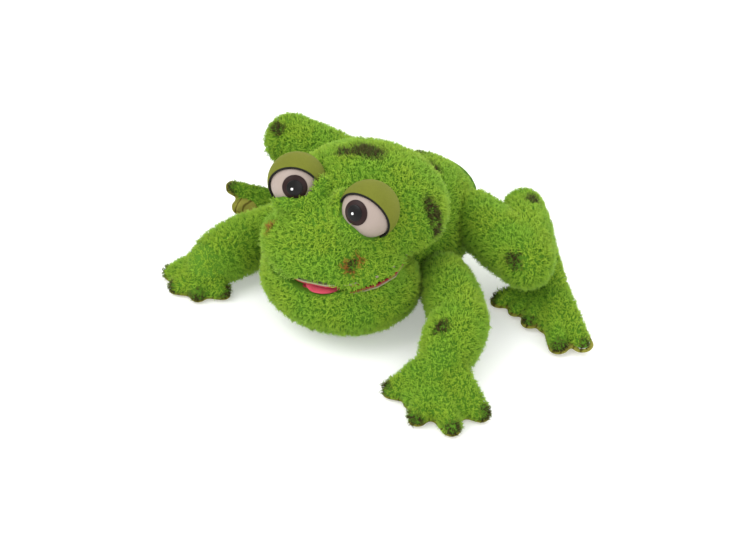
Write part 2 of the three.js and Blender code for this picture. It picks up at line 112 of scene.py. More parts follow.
LIP_DROP = 3.6             # how far the pile of the upper lip hangs over the closed part of the mouth
LIP_LIFT = 3.4             # how far the pile of the lower lip rises there
LIP_MIDDLE = 16
LIP_WIDTH = 25
LIP_FRONT = -80            # in front of this y, the lips start to leave the mouth line
LIP_FADE = 30              # and this much further forward they have left it fully
LIP_CLOTH_GAP = 1.2        # from a lip to the cloth
LIP_PILE_GAP = 1.8         # from a lip to the nearest tuft's root
UPPER_LIP_OVERHANG = 0.6   # how far tufts may pass the upper lip
LOWER_LIP_OVERHANG = 1.2
FACE_CENTRE = np.array([0, -108, 108])
FACE_SEMI = np.array([70, 52, 46])

EYE_CENTRES = {side: middle(f"{side}_eye_dome") for side in ("left", "right")}
EYE_RADIUS = 26.5
LID_RADIUS = 29.2
LID_INNER_RADIUS = 27
IRIS_SHELL = (26.3, 27.3)
IRIS_RADIUS = 12
PUPIL_SHELL = (27.2, 28.1)
PUPIL_WIDTH = 7.6
CORD_MIDDLE = 28.0         # from the eye's centre to the middle of the piping
CORD_RADIUS = 1.05
CORD_LEAD = 0.055          # how far past the lid's edge the piping lies, in radians
GAZE = {"left": (1.5, 20.8), "right": (33, 17.4)}
LID_FACING = {"left": (-0.06, 0.97, 0.23), "right": (-0.44, 0.89, 0.13)}
LID_EDGE = {"left": -0.25, "right": -0.36}
# Where the pile of the face meets each eyeball.
COLLARS = {
    "left": [(19.8, -124, 160), (20.5, -129, 153), (25, -134, 146.7), (36, -140, 145.5), (45, -141, 143),
             (49.8, -137, 135), (53.3, -127.8, 127.5)],
    "right": [(-19, -116, 161), (-18, -122, 156.6), (-21, -130, 149.6), (-28, -137, 145.8),
              (-35, -140, 145.6), (-42, -142, 145.5), (-48, -141, 142), (-54.5, -138, 139)],
}
COLLAR_RADIUS = 10.5
COLLAR_SET_BACK = 7
COLLAR_LENGTH = 26
FACE_CORE = np.array([0, -78, 96])   # where the collars run to, inside the head

LIMB_RADII = {
    ("left", "arm"): (27, 30, 28), ("right", "arm"): (28, 31, 28),
    ("left", "leg"): (30, 31, 24), ("right", "leg"): (29, 32, 22),
}
BARREL = 3.5               # how much a limb bulges halfway along
LIMB_SEED = 200            # the count of objects so far is added, so that each piece has its own
PAW_SEED = 300
LIMB_FLOOR = 2
PAW_CLOTH_HEIGHT = 3.2     # heights above the sole's plane
PAW_ROOT_HEIGHT = 3.8
PAW_PRESSED_HEIGHT = 1.2
SOLE_DRAWN_HEIGHT = 4
SOLE_MIDDLE_HEIGHT = 2.4
SOLE_CROWN = 0.16
PAWS = {
    "left_hand": {
        "joint": "left_wrist", "wrist_radius": 27, "palm": (153, -160, 15), "palm_radius": 20,
        "toe_radius": 12,
        "toes": [(118, -181, 8), (161, -200, 8), (195, -193, 8), (206, -160, 8)],
        "sole": [(118, -185, 0), (162, -206, 0), (209, -160, 0)], "webs": (0.80, 0.72, 0.76), "rim": 3,
        "cheeks": True,
    },
    "right_hand": {
        "joint": "right_wrist", "wrist_radius": 25, "palm": (-144, -157, 14), "palm_radius": 18,
        "toe_radius": 11,
        "toes": [(-183, -158, 8), (-161, -174, 8), (-134, -171, 8), (-116, -153, 8)],
        "sole": [(-183, -161, 0), (-106, -157, 0), (-158, -181, 0)], "webs": (0.85, 0.80, 0.80), "rim": 3,
        "cheeks": True,
    },
    "left_foot": {
        "joint": "left_ankle", "wrist_radius": 24, "palm": (167, 32, 23), "palm_radius": 20,
        "toe_radius": 11.5,
        "toes": [(124, 4, 8), (168, -8, 8), (212, -27, 8), (232, -14, 8)],
        "sole": [(124, -4, 1.6), (225, -38, 1.6), (140, 62, 14)], "webs": (0.98, 0.82, 0.76), "rim": 0.5,
        "cheeks": False,
    },
    "right_foot": {
        "joint": "right_ankle", "wrist_radius": 21, "palm": (-160, -10, 27), "palm_radius": 16,
        "toe_radius": 10,
        "toes": [(-193, -40, 49), (-178, -49, 34), (-163, -52, 24), (-147, -46, 17)],
        "sole": [(-186, -54, 34), (-150, -54, 5), (-138, 10, 14)], "webs": (0.85, 0.9, 0.9), "rim": 1,
        "cheeks": False, "bare": ((-173, -50, 33), (19, 16, 11)),
    },
}

# ---- Camera ---------------------------------------------------------------------------------------
SENSOR_WIDTH = 36
FOCAL_PIXELS = 1700
PICTURE_WIDTH = 735
AZIMUTH, ELEVATION, DISTANCE = math.radians(36), math.radians(35), 1.7
AIM = Vector((0.027, -0.095, 0.060))
BACKWARD = Vector((math.sin(AZIMUTH) * math.cos(ELEVATION), -math.cos(AZIMUTH) * math.cos(ELEVATION),
                   math.sin(ELEVATION)))
RIGHTWARD = Vector((math.cos(AZIMUTH), math.sin(AZIMUTH), 0))
UPWARD = BACKWARD.cross(RIGHTWARD)


# ---- Smooth repeatable noise --------------------------------------------------------------------
def waves(seed, wavelength, count=14):
    """Random plane waves whose sum is a smooth noise of about the given wavelength."""
    rng = np.random.default_rng(seed)
    directions = rng.normal(size=(count, 3))
    directions /= np.linalg.norm(directions, axis=1, keepdims=True)
    numbers = 2 * math.pi / (wavelength * rng.uniform(0.7, 1.5, count))
    return directions * numbers[:, None], rng.uniform(0, 2 * math.pi, count)


def noise(points, seed, wavelength):
    vectors, phases = waves(seed, wavelength)
    return np.sin(points @ vectors.T + phases).sum(axis=1) / math.sqrt(len(phases) / 2)


def unit(vectors):
    return vectors / np.maximum(np.linalg.norm(vectors, axis=-1, keepdims=True), 1e-9)


# ---- Base surfaces ----------------------------------------------------------------------------
def ball_mesh(mesh, centre, semi, subdivisions=4):
    made = bmesh.ops.create_icosphere(mesh, subdivisions=subdivisions, radius=1)["verts"]
    for vert in made:
        vert.co = Vector([centre[i] + vert.co[i] * semi[i] for i in range(3)])


def rope_mesh(mesh, start, end, start_radius, end_radius, bulge=0):
    start, end = np.array(start, float), np.array(end, float)
    length = np.linalg.norm(end - start)
    steps = max(2, int(length / (min(start_radius, end_radius) * 0.35)))
    for step in range(steps + 1):
        share = step / steps
        radius = start_radius + (end_radius - start_radius) * share + bulge * math.sin(math.pi * share)
        ball_mesh(mesh, start + (end - start) * share, [radius] * 3, ROPE_BALL)


def drawn_object(name, draw):
    mesh = bmesh.new()
    draw(mesh)
    data = bpy.data.meshes.new(name)
    mesh.to_mesh(data)
    mesh.free()
    thing = bpy.data.objects.new(name, data)
    bpy.context.scene.collection.objects.link(thing)
    return thing


def add_remesh(thing, voxel):
    remesh = thing.modifiers.new("remesh", "REMESH")
    remesh.mode = "VOXEL"
    remesh.voxel_size = voxel
    return remesh


def base_surface(draw, smoothing=8, voxel=VOXEL, hollow=None):
    """Draws overlapping round solids, and melts them into one smooth skin. Returns points and faces."""
    thing = drawn_object("melting", draw)
    add_remesh(thing, voxel)
    cutter = drawn_object("hollow", hollow) if hollow else None
    if cutter:
        cut = thing.modifiers.new("cut", "BOOLEAN")
        cut.operation = "DIFFERENCE"
        cut.object = cutter
        add_remesh(thing, voxel)
    smooth = thing.modifiers.new("smooth", "SMOOTH")
    smooth.iterations = smoothing
    smooth.factor = 0.5
    evaluated = thing.evaluated_get(bpy.context.evaluated_depsgraph_get())
    result = bpy.data.meshes.new_from_object(evaluated)
    bpy.data.objects.remove(thing)
    if cutter:
        bpy.data.objects.remove(cutter)
    points = np.zeros(len(result.vertices) * 3)
    result.vertices.foreach_get("co", points)
    faces = np.zeros(len(result.polygons) * 4, int)
    result.polygons.foreach_get("vertices", faces)
    bpy.data.meshes.remove(result)
    return points.reshape(-1, 3), faces.reshape(-1, 4)


def vertex_normals(points, quads):
    across = points[quads[:, 2]] - points[quads[:, 0]]
    along = points[quads[:, 3]] - points[quads[:, 1]]
    facing = np.cross(across, along)
    normals = np.zeros_like(points)
    for corner in range(4):
        np.add.at(normals, quads[:, corner], facing)
    return unit(normals)


# ---- Pile -------------------------------------------------------------------------------------
OVERSAMPLE = 6             # points tried for each point kept
CELL_SHARE = 1.22          # width of the cell that keeps one point, as a share of the spacing
CELL_HASH = (73856093, 19349663, 83492791)


def scatter(points, quads, spacing, rng):
    """Evenly spread points on a surface, with its normals there."""
    normals = vertex_normals(points, quads)
    triangles = np.concatenate([quads[:, [0, 1, 2]], quads[:, [0, 2, 3]]])
    a, b, c = (points[triangles[:, i]] for i in range(3))
    areas = np.linalg.norm(np.cross(b - a, c - a), axis=1) / 2
    count = int(areas.sum() / spacing**2 * OVERSAMPLE)
    chosen = rng.choice(len(triangles), count, p=areas / areas.sum())
    u, v = rng.random(count), rng.random(count)
    flip = u + v > 1
    u[flip], v[flip] = 1 - u[flip], 1 - v[flip]
    weights = np.stack([1 - u - v, u, v], axis=1)[:, :, None]
    corners = triangles[chosen]
    where = (points[corners] * weights).sum(axis=1)
    facing = unit((normals[corners] * weights).sum(axis=1))
    cells = np.floor(where / (spacing * CELL_SHARE)).astype(np.int64)
    keys = (cells[:, 0] * CELL_HASH[0]) ^ (cells[:, 1] * CELL_HASH[1]) ^ (cells[:, 2] * CELL_HASH[2])
    _, first = np.unique(keys, return_index=True)
    return where[first], facing[first]


TUFT_POINTS = 7
TUFT_FACES = [(2, 1, 0), (0, 1, 4, 3), (1, 2, 5, 4), (2, 0, 3, 5), (3, 4, 6), (4, 5, 6), (5, 3, 6)]
TUFT_ALONG = [0, 0, 0, 0.6, 0.6, 0.6, 1]
CLUMP = 5.5                # width of a curl, which its tufts share
CURL_LEAN = 0.40           # how strongly the tufts of a curl lean together
STRAY_LEAN = 0.30          # how strongly each tuft strays from its curl
ROOT_DEPTH = 0.7           # how far under the cloth a tuft starts
BEND_SHARE = 0.55          # where a tuft bends, as a share of its length


def grow_tufts(where, facing, rng, length):
    """Curved three-sided tufts. Returns their points and shading normals, (tuft, 7, 3) each."""
    count = len(where)
    curls = np.stack([noise(where, seed, CLUMP) for seed in (11, 12, 13)], axis=1)
    stray = rng.normal(size=(count, 3))
    lean = unit(facing + CURL_LEAN * curls + STRAY_LEAN * stray)
    low = (lean * facing).sum(axis=1) < 0.4
    lean[low] = unit(lean[low] + 0.7 * facing[low])
    curl = rng.normal(size=(count, 3))
    curl = unit(curl - (curl * lean).sum(axis=1, keepdims=True) * lean)
    side = unit(np.cross(lean, curl))
    height = 1 + 0.14 * noise(where, 14, CLUMP * 1.3)
    reach = (length * rng.uniform(0.78, 1.14, count) * height)[:, None]
    root = where - facing * ROOT_DEPTH
    bend = root + lean * reach * BEND_SHARE + curl * reach * 0.15
    tip = root + lean * reach * 0.98 - curl * reach * 0.22
    tip += side * reach * rng.normal(0, 0.12, count)[:, None]
    thick = (TUFT_RADIUS * rng.uniform(0.75, 1.25, count))[:, None]
    points = np.zeros((count, TUFT_POINTS, 3))
    normals = np.zeros((count, TUFT_POINTS, 3))
    for corner in range(3):
        angle = corner * 2 * math.pi / 3
        spoke = curl * math.cos(angle) + side * math.sin(angle)
        points[:, corner] = root + spoke * thick
        points[:, 3 + corner] = bend + spoke * thick * 0.95
        normals[:, corner] = unit(facing + 0.35 * spoke)
        normals[:, 3 + corner] = unit(facing + 0.5 * spoke)
    points[:, 6] = tip
    normals[:, 6] = unit(facing + 0.5 * lean)
    return points, normals


def add_attribute(mesh, name, values):
    attribute = mesh.attributes.new(name, "FLOAT", "POINT")
    attribute.data.foreach_set("value", values.astype(np.float32))


def tuft_map(count, where):
    """A cell of the square map for each tuft, so that tufts near each other are near each other on it."""
    columns = max(1, math.ceil(math.sqrt(count)))
    bands = np.floor(where[:, 2] / 6)
    order = np.lexsort((np.arctan2(where[:, 0], where[:, 1] + 60), bands))
    rank = np.empty(count, int)
    rank[order] = np.arange(count)
    return (rank % columns) / columns, (rank // columns) / columns * 0.94 + 0.06, 1 / columns


def sew_panel(name, base, quads, where, tufts, normals, values):
    """One mesh of a backing, which may be empty, and the tufts on it."""
    count, start = len(where), len(base)
    loops, sizes = [quads.ravel()], [np.full(len(quads), 4)]
    firsts = start + np.arange(count)[:, None] * TUFT_POINTS
    place_u, place_v, cell = tuft_map(count, where)
    maps = [np.zeros((len(quads) * 4, 2)) + 0.02]
    for face in TUFT_FACES:
        loops.append((firsts + np.array(face)[None, :]).ravel())
        sizes.append(np.full(count, len(face)))
        across = np.array([corner % 3 / 2 for corner in face])
        upward = np.array([TUFT_ALONG[corner] for corner in face])
        u = place_u[:, None] + cell * (0.2 + 0.6 * across)[None, :]
        v = place_v[:, None] + cell * (0.15 + 0.7 * upward)[None, :] * 0.94
        maps.append(np.stack([u.ravel(), v.ravel()], axis=1))
    loops, sizes = np.concatenate(loops), np.concatenate(sizes)
    points = np.concatenate([base, tufts.reshape(-1, 3)])

    mesh = bpy.data.meshes.new(name)
    mesh.vertices.add(len(points))
    mesh.vertices.foreach_set("co", (points * MM).astype(np.float32).ravel())
    mesh.loops.add(len(loops))
    mesh.loops.foreach_set("vertex_index", loops.astype(np.int32))
    mesh.polygons.add(len(sizes))
    mesh.polygons.foreach_set("loop_start", (np.cumsum(sizes) - sizes).astype(np.int32))
    mesh.polygons.foreach_set("use_smooth", np.ones(len(sizes), bool))
    mesh.materials.append(BACKING)
    mesh.materials.append(PILE_CLOTH)
    mesh.polygons.foreach_set("material_index", (np.arange(len(sizes)) >= len(quads)).astype(np.int32))
    layer = mesh.uv_layers.new(name="OFBake")
    layer.uv.foreach_set("vector", np.clip(np.concatenate(maps), 0, 1).astype(np.float32).ravel())
    along = np.concatenate([np.zeros(start), np.tile(TUFT_ALONG, count)])
    add_attribute(mesh, "along", along)
    for key, value in values.items():
        add_attribute(mesh, key, np.concatenate([np.full(start, 0.5), np.repeat(value, TUFT_POINTS)]))
    mesh.update(calc_edges=True)
    smooth = normals.reshape(-1, 3)
    if start:
        smooth = np.concatenate([vertex_normals(base, quads), smooth])
    mesh.normals_split_custom_set_from_vertices(smooth.tolist())
    thing = bpy.data.objects.new(name, mesh)
    bpy.context.scene.collection.objects.link(thing)
    return thing


NO_POINTS = np.zeros((0, 3))
NO_QUADS = np.zeros((0, 4), int)


def fur_piece(name, points, quads, body, nodes, keep, length=PILE, marks=None, seed=1, reshape=None,
              bare=None):
    """Pile cloth over a base surface, in as many panels as its tufts need."""
    rng = np.random.default_rng(seed)
    where, facing = scatter(points, quads, TUFT_SPACING, rng)
    kept = keep(where)
    where, facing = where[kept], facing[kept]
    tufts, normals = grow_tufts(where, facing, rng, length)
    flat = tufts.reshape(-1, 3)
    if reshape is not None:
        flat = reshape(flat)
    flat[:, 2] = np.maximum(flat[:, 2], FLOOR_GAP)
    tufts = flat.reshape(-1, TUFT_POINTS, 3)
    values = {"tone": rng.random(len(where)), "patch": np.clip(noise(where, 21, 38.0) * 0.35 + 0.5, 0, 1)}
    spots = marks(where) if marks else {}
    for key in ("brown", "blush"):
        values[key] = spots.get(key, np.zeros(len(where)))

    centre = points.mean(axis=0)
    around = np.argsort(np.arctan2(where[:, 0] - centre[0], centre[1] - where[:, 1]))
    panels = np.array_split(around, math.ceil(len(where) / MOST_TUFTS))
    for index, chosen in enumerate(panels):
        base, faces = (points, quads) if index == 0 else (NO_POINTS, NO_QUADS)
        label = name if len(panels) == 1 else f"{name}_panel_{index + 1}"
        thing = sew_panel(label, base, faces, where[chosen], tufts[chosen], normals[chosen],
                          {key: value[chosen] for key, value in values.items()})
        if bare is not None and index == 0:
            thing.data.materials.append(SOLE_VELOUR)
            for face in np.flatnonzero(bare(points[quads].mean(axis=1))):
                thing.data.polygons[int(face)].material_index = 2
        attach(thing, body)
        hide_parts(*nodes)


# ---- Marks dyed into the pile -------------------------------------------------------------------
def spot(roots, centre, semi):
    away = np.linalg.norm((roots - np.array(centre)) / np.array(semi), axis=1)
    away = away + 0.13 * noise(roots, 31, 9.0)
    return np.clip((1.2 - away) / 0.5, 0, 1)


def marker(brown=(), blush=()):
    def marks(roots):
        result = {}
        for key, spots in (("brown", brown), ("blush", blush)):
            total = np.zeros(len(roots))
            for centre, semi in spots:
                total = np.maximum(total, spot(roots, centre, semi))
            result[key] = total
        return result
    return marks


# ---- Materials ----------------------------------------------------------------------------------
class Recipe:
    """A short way to write a node material."""

    def __init__(self, name):
        self.material = bpy.data.materials.new(name)
        self.material.use_nodes = True
        self.tree = self.material.node_tree
        self.shader = self.tree.nodes["Principled BSDF"]

    def node(self, kind, **values):
        made = self.tree.nodes.new(kind)
        for key, value in values.items():
            if key in made.inputs:
                made.inputs[key].default_value = value
            else:
                setattr(made, key, value)
        return made

    def link(self, start, end):
        self.tree.links.new(start, end)

    def set(self, **values):
        for key, value in values.items():
            self.shader.inputs[key.replace("_", " ")].default_value = value

    def attribute(self, name):
        return self.node("ShaderNodeAttribute", attribute_name=name).outputs["Fac"]

    def ramp(self, factor, stops):
        made = self.node("ShaderNodeValToRGB")
        elements = made.color_ramp.elements
        while len(elements) < len(stops):
            elements.new(0.5)
        for element, (place, colour) in zip(elements, stops):
            element.position = place
            element.color = (*colour, 1)
        self.link(factor, made.inputs["Fac"])
        return made.outputs["Color"]

    def mix(self, factor, first, second, mode="MIX"):
        made = self.node("ShaderNodeMix", data_type="RGBA", blend_type=mode)
        for socket, value in ((made.inputs[0], factor), (made.inputs[6], first), (made.inputs[7], second)):
            if isinstance(value, bpy.types.NodeSocket):
                self.link(value, socket)
            else:
                socket.default_value = value if isinstance(value, float) else (*value, 1)
        return made.outputs[2]

    def position(self):
        return self.node("ShaderNodeTexCoord").outputs["Object"]

    def noise(self, scale, detail=3.0):
        made = self.node("ShaderNodeTexNoise")
        made.inputs["Scale"].default_value = scale
        made.inputs["Detail"].default_value = detail
        self.link(self.position(), made.inputs["Vector"])
        return made.outputs["Fac"]

    def bands(self, scale, distortion):
        made = self.node("ShaderNodeTexWave")
        made.inputs["Scale"].default_value = scale
        made.inputs["Distortion"].default_value = distortion
        self.link(self.position(), made.inputs["Vector"])
        return made.outputs["Fac"]

    def near(self, place, radius):
        """1 within a radius of a place, in metres, and 0 outside."""
        away = self.node("ShaderNodeVectorMath", operation="DISTANCE")
        self.link(self.position(), away.inputs[0])
        away.inputs[1].default_value = place
        inside = self.node("ShaderNodeMath", operation="LESS_THAN")
        self.link(away.outputs["Value"], inside.inputs[0])
        inside.inputs[1].default_value = radius
        return inside.outputs[0]

    def bump(self, height, strength, distance):
        made = self.node("ShaderNodeBump")
        made.inputs["Strength"].default_value = strength
        made.inputs["Distance"].default_value = distance
        self.link(height, made.inputs["Height"])
        self.link(made.outputs["Normal"], self.shader.inputs["Normal"])


# Colours from the root to the tip of a tuft: painted darker at the roots as painted shade between the tufts,
# and lighter at the tips as painted light.
PILE_SHADED_COLOURS = [(0.0, (0.10, 0.215, 0.016)), (0.45, (0.18, 0.35, 0.024)), (1.0, (0.31, 0.50, 0.045))]
BROWN_SHADED_COLOURS = [(0.0, (0.014, 0.011, 0.004)), (1.0, (0.055, 0.040, 0.012))]
BLUSH_SHADED_COLOURS = [(0.0, (0.10, 0.025, 0.008)), (1.0, (0.36, 0.15, 0.03))]


def pile_material(name):
    recipe = Recipe(name)
    along = recipe.attribute("along")
    # painted shade at the roots and painted light at the tips, along each tuft
    colour = recipe.ramp(along, PILE_SHADED_COLOURS)
    tone = recipe.mix(recipe.attribute("tone"), (0.86, 0.92, 0.82), (1.12, 1.06, 1.08))
    colour = recipe.mix(1.0, colour, tone, "MULTIPLY")
    patch = recipe.mix(recipe.attribute("patch"), (0.88, 0.97, 0.95), (1.10, 1.02, 0.95))
    colour = recipe.mix(1.0, colour, patch, "MULTIPLY")
    # the blush and brown marks are the pile's own colours, with the same painted shade at the roots and
    # painted light at the tips
    colour = recipe.mix(recipe.attribute("blush"), colour, recipe.ramp(along, BLUSH_SHADED_COLOURS))
    colour = recipe.mix(recipe.attribute("brown"), colour, recipe.ramp(along, BROWN_SHADED_COLOURS))
    recipe.link(colour, recipe.shader.inputs["Base Color"])
    recipe.set(Roughness=0.8, Sheen_Weight=0.35, Sheen_Roughness=0.45, Sheen_Tint=(0.62, 0.95, 0.25, 1))
    recipe.shader.inputs["Specular IOR Level"].default_value = 0.1
    return recipe.material


def velour_material(name, light, dark, scale=900.0, sheen=0.25, crease_shade=None):
    recipe = Recipe(name)
    fibre = recipe.noise(scale, 2.0)
    cloud = recipe.noise(60.0, 3.0)
    colour = recipe.mix(fibre, dark, light)
    worn = recipe.mix(1.0, colour, (0.80, 0.84, 0.78), "MULTIPLY")
    colour = recipe.mix(cloud, colour, worn)
    # dark wave bands multiplied into the colour: painted shade of creases
    if crease_shade:
        bands = recipe.ramp(recipe.bands(38.0, 6.0), [(0.0, (1, 1, 1)), (0.75, (1, 1, 1)), (1.0, crease_shade)])
        colour = recipe.mix(1.0, colour, bands, "MULTIPLY")
    recipe.link(colour, recipe.shader.inputs["Base Color"])
    recipe.set(Roughness=0.85, Sheen_Weight=sheen, Sheen_Roughness=0.35, Sheen_Tint=(*light, 1))
    recipe.shader.inputs["Specular IOR Level"].default_value = 0.15
    recipe.bump(fibre, 0.35, 0.0006)
    return recipe.material


BACKING = velour_material("pile_backing", (0.10, 0.24, 0.015), (0.07, 0.17, 0.012))
PILE_CLOTH = pile_material("curly_pile")
OLIVE_VELOUR = velour_material("olive_velour", (0.185, 0.200, 0.026), (0.135, 0.148, 0.018))
# the sole's velour carries painted shade of creases
SOLE_VELOUR = velour_material("sole_velour", (0.30, 0.29, 0.05), (0.20, 0.19, 0.03), crease_shade=(0.35, 0.3, 0.2))
RED_VELOUR = velour_material("red_velour", (0.55, 0.055, 0.085), (0.38, 0.030, 0.050))
PINK_VELOUR = velour_material("tongue_velour", (0.62, 0.085, 0.13), (0.48, 0.055, 0.085))
LINING = velour_material("lining_cloth", (0.10, 0.22, 0.03), (0.07, 0.16, 0.02))
FIBREFILL = velour_material("fibrefill", (0.60, 0.59, 0.55), (0.48, 0.47, 0.44), 300.0)
BOARD = velour_material("stiff_board", (0.38, 0.32, 0.22), (0.30, 0.25, 0.17))
CORD = velour_material("black_cord", (0.020, 0.018, 0.016), (0.006, 0.006, 0.005), sheen=0.05)


def eye_material(name, light, dark, roughness, specular=0.5, catchlight=None):
    recipe = Recipe(name)
    colour = recipe.mix(recipe.noise(220.0, 3.0), dark, light)
    # a white dot mixed into the colour: a painted catchlight, a painted highlight that no lamp makes
    if catchlight is not None:
        colour = recipe.mix(recipe.near(Vector(catchlight * MM), 1.25 * MM), colour, (0.95, 0.95, 0.95))
    recipe.link(colour, recipe.shader.inputs["Base Color"])
    recipe.set(Roughness=roughness)
    recipe.shader.inputs["Specular IOR Level"].default_value = specular
    return recipe.material


EYE_WHITE = eye_material("eye_white", (0.36, 0.290, 0.250), (0.33, 0.265, 0.230), 0.5, 0.3)
IRIS = eye_material("iris_brown", (0.026, 0.011, 0.010), (0.014, 0.006, 0.006), 0.4, 0.15)
WASHER = eye_material("washer_plastic", (0.75, 0.75, 0.75), (0.7, 0.7, 0.7), 0.4)


# ---- Head and jaw -----------------------------------------------------------------------------------
def mouth_line(points):
    """Height of the mouth, which smiles: low near the middle, and higher towards both cheeks."""
    return SMILE_LOWEST + (points[:, 0] - SMILE_MIDDLE) ** 2 / (2 * SMILE_RADIUS)


def parting(points):
    """1 where the lips part over the tongue, and 0 where the pile closes the mouth."""
    return np.exp(-(((points[:, 0] - LIP_MIDDLE) / LIP_WIDTH) ** 4))


def lip_front(points):
    """1 at the front of the mouth, where the lips have their full shape, and 0 behind."""
    return np.clip((LIP_FRONT - points[:, 1]) / LIP_FADE, 0, 1)


def upper_lip(points):
    open_here = parting(points)
    rise = LIP_RAISE * open_here - LIP_DROP * (1 - open_here)
    return mouth_line(points) + rise * lip_front(points)


def lower_lip(points):
    rest_gap = JAW_REST * np.maximum(JAW_HINGE_Y - points[:, 1], 0)
    return mouth_line(points) - rest_gap + LIP_LIFT * (1 - parting(points)) * lip_front(points)


def outside_eyes(where):
    kept = np.ones(len(where), bool)
    for centre in EYE_CENTRES.values():
        kept &= np.linalg.norm(where - centre, axis=1) > LID_RADIUS + 0.2
    return kept


def keep_out_of_eyes(flat):
    for side, centre in EYE_CENTRES.items():
        away = flat - centre
        distance = np.linalg.norm(away, axis=1)
        outward = away / np.maximum(distance, 1e-6)[:, None]
        lid = outward @ unit(np.array(LID_FACING[side])) > LID_EDGE[side] - 0.1
        clear = np.where(lid, LID_RADIUS + 0.5, EYE_RADIUS + 0.9)
        inside = distance < clear
        flat[inside] = centre + away[inside] * (clear[inside] / distance[inside])[:, None]
    return flat


def draw_collar(mesh, side):
    """Rolls of pile that rise round the lower edge of an eyeball."""
    centre = EYE_CENTRES[side]
    outline = np.array(COLLARS[side], float)
    for here, after in zip(outline[:-1], outline[1:]):
        for share in (0, 0.5):
            point = here + (after - here) * share
            outward = unit(point - centre)
            place = centre + outward * (EYE_RADIUS + 0.6)
            inward = unit(FACE_CORE - place)
            core = place + outward * (COLLAR_RADIUS * 0.35) + inward * COLLAR_SET_BACK
            ball_mesh(mesh, core, [COLLAR_RADIUS - PILE_HEIGHT + 1] * 3, ROPE_BALL)
            deep = core + inward * COLLAR_LENGTH
            rope_mesh(mesh, core, deep, COLLAR_RADIUS - PILE_HEIGHT + 1, COLLAR_RADIUS)


def make_head():
    def draw(mesh):
        ball_mesh(mesh, CRANIUM_CENTRE, CRANIUM_SEMI - PILE_HEIGHT, FINE_BALL)
        ball_mesh(mesh, MUZZLE_CENTRE, MUZZLE_SEMI - PILE_HEIGHT, FINE_BALL)
        ball_mesh(mesh, FACE_CENTRE, FACE_SEMI - PILE_HEIGHT, FINE_BALL)
        for side in EYE_CENTRES:
            draw_collar(mesh, side)
    points, quads = base_surface(draw, 9)
    points[:, 2] = np.maximum(points[:, 2], upper_lip(points) + LIP_CLOTH_GAP)

    def keep(where):
        return outside_eyes(where) & (where[:, 2] > upper_lip(where) + LIP_PILE_GAP)

    def lift(flat):
        flat = keep_out_of_eyes(flat)
        flat[:, 2] = np.maximum(flat[:, 2], upper_lip(flat) - UPPER_LIP_OVERHANG)
        return flat
    marks = marker(
        brown=[((-4, -54, 168), (19, 15, 14)), ((-21, -65, 166), (11, 9, 10)), ((78, -58, 134), (12, 11, 20)),
               ((82, -55, 112), (9, 9, 11)), ((49, -149, 107), (4.5, 5, 5.5))],
        blush=[((46, -150, 104), (9, 9, 8)), ((52, -148, 111), (9, 9, 9)), ((-58, -146, 110), (8, 9, 10))],
    )
    fur_piece("head_fur", points, quads, "head", ["head_skin"], keep, marks=marks, seed=101, reshape=lift)
    make_filling("head", "head_padding", points, quads, HEAD_FILL)


def make_jaw():
    def draw(mesh):
        ball_mesh(mesh, JAW_CENTRE, JAW_SEMI - PILE_HEIGHT, FINE_BALL)
        ball_mesh(mesh, CHOP_CENTRE, CHOP_SEMI - PILE_HEIGHT, FINE_BALL)
    points, quads = base_surface(draw, 6)
    points[:, 2] = np.minimum(points[:, 2], lower_lip(points) - LIP_CLOTH_GAP)

    def keep(where):
        return where[:, 2] < lower_lip(where) - LIP_PILE_GAP

    def press(flat):
        flat[:, 2] = np.minimum(flat[:, 2], lower_lip(flat) + LOWER_LIP_OVERHANG)
        return flat
    fur_piece("jaw_fur", points, quads, "jaw", ["jaw_skin"], keep, seed=102, reshape=press)
    make_filling("jaw", "jaw_padding", points, quads, HEAD_FILL)


TONGUE_SHIFT = np.array([0, -2, 0.5])
TONGUE_GROWTH = np.array([1, 2.5, 1.2])
GROOVE_WIDTH = 3.5
GROOVE_DEPTH = 1.1
TONGUE_GAP = 0.6           # from the tongue to the mouth line


def make_tongue():
    """A flat padded tongue that lies on the lower palate, with a groove along it."""
    low, high = (np.array(corner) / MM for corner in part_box("tongue"))
    centre, semi = (low + high) / 2, (high - low) / 2

    def draw(mesh):
        ball_mesh(mesh, centre + TONGUE_SHIFT, semi + TONGUE_GROWTH, FINE_BALL)
    points, quads = base_surface(draw, 3, 1.4)
    groove = np.exp(-(((points[:, 0] - centre[0]) / GROOVE_WIDTH) ** 2)) * (points[:, 2] > centre[2])
    points[:, 2] -= GROOVE_DEPTH * groove
    points[:, 2] = np.minimum(points[:, 2], mouth_line(points) - TONGUE_GAP)
    thing = plain_piece("padded_tongue", points, quads, PINK_VELOUR)
    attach(thing, "jaw")
    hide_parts("tongue")


# ---- Torso --------------------------------------------------------------------------------------------
def elliptic_tube(mesh, y_ends, outer, inner=None, around=72, along=12):
    """An elliptic solid along y, or a tube if it has an inner outline, about the tunnel's middle line."""
    rings = []
    outlines = [outer] if inner is None else [outer, inner]
    for semi in outlines:
        for step in range(along + 1):
            y = y_ends[0] + (y_ends[1] - y_ends[0]) * step / along
            ring = []
            for turn in range(around):
                angle = 2 * math.pi * turn / around
                place = (semi[0] * math.cos(angle), y, TUNNEL_HEIGHT + semi[1] * math.sin(angle))
                ring.append(mesh.verts.new(place))
            rings.append(ring)
    rows = along + 1
    order = list(range(rows)) + (list(range(2 * rows - 1, rows - 1, -1)) if inner is not None else [])
    pairs = list(zip(order, order[1:])) + ([(order[-1], order[0])] if inner is not None else [])
    for first, second in pairs:
        for turn in range(around):
            after = (turn + 1) % around
            here, there = rings[first], rings[second]
            mesh.faces.new((here[turn], here[after], there[after], there[turn]))
    if inner is None:
        mesh.faces.new(rings[0])
        mesh.faces.new(rings[-1])
    bmesh.ops.recalc_face_normals(mesh, faces=mesh.faces)


